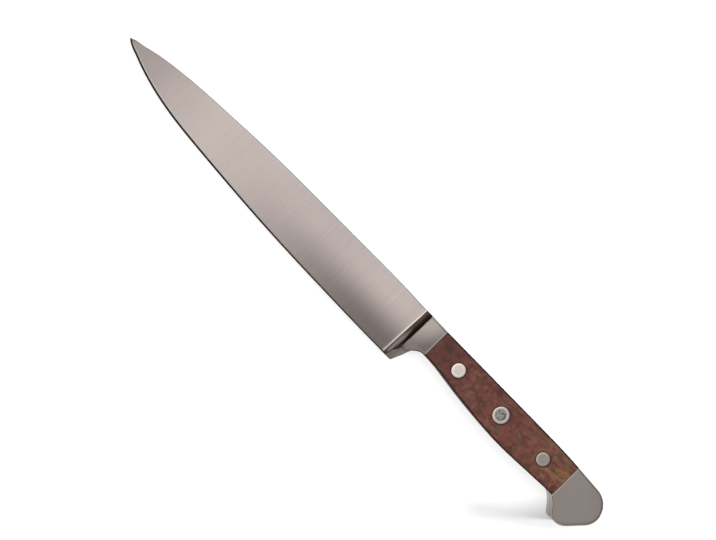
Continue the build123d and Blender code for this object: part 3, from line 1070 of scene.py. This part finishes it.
def oiledFruitWood():
    look = woodLook
    material, tree, place = startMaterial("oiledFruitWood")
    along = addNode(tree, "SeparateXYZ", (place,))
    lie = {}
    for name in ("grain", "curl"):
        degrees, squeeze = look[name]
        lie[name] = addNode(tree, "Mapping", {
            "Vector": place, "Rotation": (0, 0, math.radians(degrees)), "Scale": squeeze,
        })
    layers = []
    for colour, way, size, detail, bend, *rise in look["mottles"]:
        noise = addNode(tree, "TexNoise", {
            "Vector": lie[way], "Scale": 1 / (size * mm), "Detail": detail, "Distortion": bend,
        })
        layers.append((colour, noise, *rise))
    flame = addNode(tree, "TexNoise", {
        "Vector": lie["grain"], "Scale": 1 / (look["flameSize"] * mm), "Detail": 2,
        "Distortion": 1.0,
    })
    start, full, most = look["flame"]
    flame = addNode(tree, "MapRange", (flame, start, full, 0.0, most), **smooth)
    start, full, most = look["frontDark"]
    layers += [
        (look["dark"], along, alongAt(start), alongAt(full), most),
        (look["gold"], along, *map(alongAt, look["goldAlong"]), flame),
    ]

    # the knot: distance from its middle in its own sizes, made uneven
    oval = addNode(tree, "Mapping", {
        "Vector": place, "Location": laid([*look["knotPlace"], 0.0]),
        "Scale": (look["knotSize"][0] * mm, look["knotSize"][1] * mm, 1),
    }, vector_type="TEXTURE")
    far = addNode(tree, "VectorMath", (oval,), "Value", operation="LENGTH")
    uneven = {"Vector": place, "Scale": 1 / (look["knotUneven"] * mm), "Detail": 2}
    uneven = addNode(tree, "TexNoise", uneven)
    far = addNode(tree, "Math", (far, uneven), operation="ADD")
    wide = look["poreWidth"]
    pores = streaks(tree, place, 2 * wide, (wide / look["poreLength"], 1, 1), 2, -6)
    layers += [
        (look["knot"], far, *look["knotBorder"]), (look["dark"], pores, *look["poreShare"]),
    ]

    # painted shade on the long edges, by how far the surface has dropped there, and darker rims
    # round the rivets
    drop = addNode(tree, "Attribute", out="Fac", attribute_name="sideDrop")
    wall = addNode(tree, "MapRange", (drop, *look["wallFade"]), **smooth)
    edge = addNode(tree, "MapRange", (drop, *look["edgeShade"], 0.0, wall), **smooth)
    flat = addNode(tree, "VectorMath", (place, (1, 1, 0)), operation="MULTIPLY")
    start, full, most = look["rimDark"]
    for x, y, head in rivetPlan["places"].values():
        centre = laid([x, y, 0.0]) * (1, 1, 0)
        away = addNode(tree, "VectorMath", (flat, centre), "Value", operation="DISTANCE")
        limits = ((head / 2 + off) * mm for off in (start, full))
        ring = addNode(tree, "MapRange", (away, *limits, 0.0, most), **smooth)
        edge = addNode(tree, "Math", (edge, ring), operation="MAXIMUM")
    rough = addNode(tree, "MapRange", (edge, 0.0, 1.0, *look["roughness"]))
    surface = {
        "Base Color": layOver(tree, look["ground"], layers + [(look["edge"], edge)]),
        "Roughness": rough, "Specular IOR Level": look["gloss"], "IOR": 1.45,
    }
    return finishMaterial(material, surface, pores, -look["poreDepth"], look["poreStrength"])


# Nickel silver pins, ground flush with the wood: pale, a little warm, with fine grinding marks.
# Each head is brighter towards its rim, a painted highlight, and the pins are darker towards the
# butt.
# The sunk field of the middle one is etched, greyer and a little green.
rivetLook = {
    "colour": "#EFE3DD",
    "cloudColour": "#DFD3CD",
    "rimHighlight": (0.5, 0.75, 1.0, 1.14),  # painted highlight: from and to, as shares of the head, and brightness there
    "rearward": "#B9ADA6",                  # darker towards the butt
    "rearwardFrom": 5.0,                    # mm behind the front rivet, and as far before the rear one
    "roughness": 0.15,
    "markSpacing": 0.6,                 # mm
    "markDepth": 0.0004,                # mm
    "fieldColour": "#C9CEC4",
    "fieldSpot": "#868C84",
    "spots": (0.46, 0.62, 1.0),         # noise from and to, strength
    "fieldRoughness": 0.5,
    "fieldGrain": 1.1,                  # mm
    "fieldDepth": 0.02,                 # mm
}


def nickelSilver():
    look = rivetLook
    material, tree, place = startMaterial("nickelSilver")
    along = addNode(tree, "SeparateXYZ", (place,))
    marks = {"Vector": place, "Scale": 1 / (look["markSpacing"] * mm), "Detail": 3}
    marks = addNode(tree, "TexNoise", marks)
    front, rear = (rivetPlan["places"][name][0] for name in ("front", "rear"))
    limits = alongAt(front + look["rearwardFrom"]), alongAt(rear - look["rearwardFrom"])
    rearward = addNode(tree, "MapRange", (along, *limits))
    colour = layOver(tree, look["colour"], [(look["cloudColour"], marks), (look["rearward"], rearward)])
    # painted highlight, each head brighter towards its rim
    rim = addNode(tree, "Attribute", out="Fac", attribute_name="rimShare")
    rim = addNode(tree, "MapRange", (rim, *look["rimHighlight"]), **smooth)
    colour = addNode(tree, "VectorMath", {0: colour, "Scale": rim}, operation="SCALE")
    surface = {"Base Color": colour, "Metallic": 1.0, "Roughness": look["roughness"]}
    return finishMaterial(material, surface, marks, look["markDepth"])


def etchedNickelSilver():
    look = rivetLook
    material, tree, place = startMaterial("etchedNickelSilver")
    spots = {"Vector": place, "Scale": 1 / (look["fieldGrain"] * mm), "Detail": 2}
    spots = addNode(tree, "TexNoise", spots)
    colour = layOver(tree, look["fieldColour"], [(look["fieldSpot"], spots, *look["spots"])])
    surface = {"Base Color": colour, "Metallic": 1.0, "Roughness": look["fieldRoughness"]}
    return finishMaterial(material, surface, spots, look["fieldDepth"])


# Marks on the meshes that the materials read

markPlan = {
    "heelBelow": (19.0, 21.5),          # mm below the back where the heel's ground side starts
    "heelAlong": (215.0, 217.0),        # mm from the tip where it ends
    "pastCrest": (-0.4, 0.6),           # mm from the ramp's crest where the drop starts to count
    "mostDrop": 6.0,                    # shares of the edge rounding
    "fieldRim": 0.02,                   # mm outside the sunk field where its etching ends
    "headDepth": 0.5,                   # mm, what lies deeper isn't the head
}


def addMark(piece, name, values):
    # one number for each point of the mesh
    mark = piece.data.attributes.new(name, "FLOAT", "POINT")
    mark.data.foreach_set("value", values.astype(np.float32))


def markSideDrop(piece):
    # how far each point lies below the flat side, as a share of the edge rounding, but nothing on
    # the ramp and on the heel's ground side
    x, y, z = knifePoints(piece.data.vertices, "co")
    drop = (flatSide(x) - np.abs(z)) / forging["edgeRounding"]
    heel = fade(-y, *markPlan["heelBelow"]) * (1 - fade(x, *markPlan["heelAlong"]))
    drop = drop * fade(x - forging["rampRear"], *markPlan["pastCrest"]) * (1 - heel)
    addMark(piece, "sideDrop", np.clip(drop, 0, markPlan["mostDrop"]))


def markBevel():
    # how far each point of the blade lies above the shoulder of its cutting bevel, in mm
    o = knifeOutline
    x, y, _ = knifePoints(forgedKnife.data.vertices, "co")
    x = np.clip(x, 0, o["bladeStations"][-1][0] * o["bladeLength"])
    edge = -bladeLine(x, 2) * o["bladeHeight"]
    addMark(forgedKnife, "aboveBevel", y - edge - bevelWidth(x))


def offAxis(x, y, name):
    # distance from a rivet's axis, in mm
    centre = rivetPlan["places"][name]
    return np.hypot(x - centre[0], y - centre[1])


def coat(piece, materials, second=None):
    # the first material all over, and the second one on the faces that are true in "second"
    piece.data.materials.clear()
    for material in materials:
        piece.data.materials.append(material)
    if second is not None:
        piece.data.polygons.foreach_set("material_index", second.astype(np.int32))


for piece in (forgedKnife, nearScale, farScale):
    markSideDrop(piece)
markBevel()
x, y, _ = knifePoints(forgedKnife.data.polygons, "center")
pastFoot = x > forging["rampFront"] + forging["rampSlant"] * (y - forging["rampMiddle"])
coat(forgedKnife, (satinKnifeSteel(), blastedKnifeSteel()), pastFoot)
wood = oiledFruitWood()
coat(nearScale, [wood])
coat(farScale, [wood])
pinMetal = nickelSilver()
for (name, _), rivet in rivets.items():
    x, y, _ = knifePoints(rivet.data.vertices, "co")
    addMark(rivet, "rimShare", offAxis(x, y, name) / (rivetPlan["places"][name][2] / 2))
    coat(rivet, [pinMetal])
x, y, z = knifePoints(rivets["middle", "post"].data.polygons, "center")
onHead = z > flatSide(rivetPlan["places"]["middle"][0]) - markPlan["headDepth"]
fieldRadius = rivetPlan["fieldDiameter"] / 2 + markPlan["fieldRim"]
inField = onHead & (offAxis(x, y, "middle") < fieldRadius)
coat(rivets["middle", "post"], (pinMetal, etchedNickelSilver()), inField)
print("materials:", len(bpy.data.materials))

# Floor, light and camera

studio = {
    "floorReach": 3.0,                  # metres
    "floorColour": "#BCBCBC",
    "floorGlow": 0.60,                  # extra light towards the camera, so that the floor is white
    # where the floor glows less, so that the pommel's own lamp can cast a shadow: place in metres,
    # radii, direction in degrees, how much less
    "floorDip": ((0.1523, -0.0246, 0.0), (0.100, 0.0150), 38.0, 0.60),
    # a soft box overhead, as brightness against the slope of the direction, along and across
    "boxAlong": [
        (-0.55, 0.0), (-0.28, 1.0), (0.155, 1.0), (0.205, 0.24), (0.30, 0.20), (0.5, 0.08),
        (0.8, 0.0),
    ],
    "boxAcross": [(-0.28, 0.0), (-0.15, 1.0), (0.16, 1.0), (0.80, 0.0)],
    "boxLevel": 0.95,
    "roomLevel": 0.17,
    # each by a coordinate of the direction: where it starts, where it is full, brightness
    "horizon": (0.56, 0.34, 0.38),      # pale walls all round
    "edgeCard": (-0.36, -0.56),         # pale card on the edge's side
    "edgeCardLevel": (-0.84, -0.96, 0.50, 0.25),    # its brightness halves near the floor
    "tipCard": (-0.76, -0.92, 0.25),    # pale card low beyond the tip
    # small black card where the cutting bevel looks: middle and half size, along and across, its
    # soft border in half sizes, and the light that it leaves
    "edgeFlag": ((0.08, 0.24), (-0.40, 0.14), (0.75, 1.2), 0.03),
    # place in metres, size, watts
    "lamps": {"keyLamp": ((0.9, 0.9, 1.5), 1.0, 14.0), "fillLamp": ((-0.2, 0.0, 1.7), 2.0, 23.0)},
    # lamp that lights only the floor: place, target, radius in metres, cone in degrees, watts
    "shadowLamp": ((1.016, 0.756, 0.410), (0.145, -0.024, 0.0), 0.16, 16.0, 170.0),
}


def buildFloor():
    # a flat sheet of white paper that glows towards the camera, but less in an oval by the pommel
    reach = studio["floorReach"]
    mesh = bpy.data.meshes.new("studioFloor")
    corners = [(-reach, -reach, 0), (reach, -reach, 0), (reach, reach, 0), (-reach, reach, 0)]
    mesh.from_pydata(corners, [], [(0, 1, 2, 3)])
    floor = bpy.data.objects.new("studioFloor", mesh)
    bpy.context.scene.collection.objects.link(floor)
    material, tree, place = startMaterial("matteWhitePaper")
    rays = addNode(tree, "LightPath").node.outputs
    seen = rays["Is Camera Ray"]
    for kind in ("Is Glossy Ray", "Is Transmission Ray"):
        seen = addNode(tree, "Math", (seen, rays[kind]), operation="MAXIMUM")
    centre, radii, degrees, less = studio["floorDip"]
    place = addNode(tree, "Mapping", {
        "Vector": place, "Location": centre, "Rotation": (0, 0, math.radians(degrees)),
        "Scale": (*radii, 1),
    }, vector_type="TEXTURE")
    away = addNode(tree, "VectorMath", (place,), "Value", operation="LENGTH")
    glow = studio["floorGlow"]
    glow = addNode(tree, "MapRange", (away, 0.0, 1.0, glow - less, glow))
    glow = addNode(tree, "Math", (seen, glow), operation="MULTIPLY")
    glow = addNode(tree, "Emission", {"Color": "#FFFFFF", "Strength": glow})
    paper = addNode(tree, "BsdfDiffuse", {"Color": studio["floorColour"]})
    both = addNode(tree, "AddShader", (paper, glow))
    addNode(tree, "OutputMaterial", {"Surface": both})
    mesh.materials.append(material)
    return floor


def addLamp(name, kind, place, target, **settings):
    # a lamp that shines from its place to its target, and that metal doesn't reflect
    lamp = bpy.data.lights.new(name, kind)
    for key, value in settings.items():
        setattr(lamp, key, value)
    light = bpy.data.objects.new(name, lamp)
    aim = (Vector(place) - Vector(target)).to_track_quat("Z", "Y").to_matrix().to_4x4()
    light.matrix_world = Matrix.Translation(place) @ aim
    light.visible_glossy = False
    bpy.context.scene.collection.objects.link(light)
    return light


def buildSky():
    # Light from all round, by its direction: the room with its cards, and the soft box on top. A
    # slope is the direction's part along or across the knife over its part upwards.
    world = bpy.data.worlds.new("studioSky")
    bpy.context.scene.world = world
    world.use_nodes = True
    tree = world.node_tree
    tree.nodes.clear()
    direction = addNode(tree, "TexCoord", out="Generated")
    x, y, z = addNode(tree, "SeparateXYZ", (direction,)).node.outputs
    up = addNode(tree, "Math", (z, 0.02), operation="MAXIMUM")      # keeps the slopes finite

    # the soft box is the product of two brightness curves, one along the knife and one across
    slopes, box = [], studio["boxLevel"]
    for way, levels in ((x, studio["boxAlong"]), (y, studio["boxAcross"])):
        slopes.append(addNode(tree, "Math", (way, up), operation="DIVIDE"))
        low, high = levels[0][0], levels[-1][0]
        share = addNode(tree, "MapRange", (slopes[-1], low, high))
        curve = addNode(tree, "ValToRGB", (share,))
        stops = curve.node.color_ramp
        stops.interpolation = "EASE"
        while len(stops.elements) < len(levels):
            stops.elements.new(0.5)
        for element, (where, level) in zip(stops.elements, levels):
            element.position = (where - low) / (high - low)
            element.color = (level, level, level, 1)
        box = addNode(tree, "Math", (box, curve), operation="MULTIPLY")

    # the room's even light, with the pale walls and cards added and the black card taken out
    cardLevel = addNode(tree, "MapRange", (y, *studio["edgeCardLevel"]), **smooth)
    card = addNode(tree, "MapRange", (y, *studio["edgeCard"], 0.0, cardLevel), **smooth)
    horizon, tipCard = (
        addNode(tree, "MapRange", (way, start, full, 0.0, most), **smooth)
        for way, (start, full, most) in ((z, studio["horizon"]), (x, studio["tipCard"]))
    )
    room = addNode(tree, "Math", (card, horizon), operation="MAXIMUM")
    for more in (studio["roomLevel"], tipCard):
        room = addNode(tree, "Math", (room, more), operation="ADD")
    *sides, (inner, outer), left = studio["edgeFlag"]
    clear = []
    for slope, (middle, half) in zip(slopes, sides):
        off = addNode(tree, "Math", (slope, middle), operation="SUBTRACT")
        off = addNode(tree, "Math", (off,), operation="ABSOLUTE")
        border = (off, inner * half, outer * half, left, 1.0)
        clear.append(addNode(tree, "MapRange", border, **smooth))
    clear = addNode(tree, "Math", clear, operation="MAXIMUM")
    level = addNode(tree, "Math", (room, clear, box), operation="MULTIPLY_ADD")
    sky = addNode(tree, "Background", {"Color": "#FFFFFF", "Strength": level})
    addNode(tree, "OutputWorld", {"Surface": sky})


floor = buildFloor()
place, target, radius, cone, power = studio["shadowLamp"]
shadowLamp = addLamp(
    "shadowLamp", "SPOT", place, target, energy=power, shadow_soft_size=radius,
    spot_size=math.radians(cone), spot_blend=0.7,
)
floorOnly = bpy.data.collections.new("floorOnly")
floorOnly.objects.link(floor)
shadowLamp.light_linking.receiver_collection = floorOnly
buildSky()
for name, (place, size, power) in studio["lamps"].items():
    addLamp(name, "AREA", place, (0, 0, 0), energy=power, size=size)
print("floor and light in place")

cameraPlan = {
    "lookAt": (-7.32, 4.53, 6.0),       # mm
    "back": (-0.17731, -0.02200, 0.98391),
    "distance": 1526.74,                # mm
    "turnDegrees": 45.620,              # image's right-hand side against the knife's length
    "lens": 150.349,
}


def buildCamera():
    # The camera looks along its back direction. Its right-hand side starts level with the knife's
    # length and is turned about that direction.
    data = bpy.data.cameras.new("photoCamera")
    data.sensor_fit, data.sensor_width = "HORIZONTAL", 36.0
    data.lens, data.clip_end = cameraPlan["lens"], 20.0
    back = Vector(cameraPlan["back"]).normalized()
    level = (Vector((1, 0, 0)) - back * back.x).normalized()
    steep = back.cross(level)
    turn = math.radians(cameraPlan["turnDegrees"])
    right = level * math.cos(turn) + steep * math.sin(turn)
    up = steep * math.cos(turn) - level * math.sin(turn)
    camera = bpy.data.objects.new("photoCamera", data)
    place = (Vector(cameraPlan["lookAt"]) + back * cameraPlan["distance"]) * mm
    axes = Matrix((right, up, back)).transposed().to_4x4()
    camera.matrix_world = Matrix.Translation(place) @ axes
    bpy.context.scene.collection.objects.link(camera)
    bpy.context.scene.camera = camera


buildCamera()
bpy.context.scene.view_settings.view_transform = "Standard"
print("camera in place")
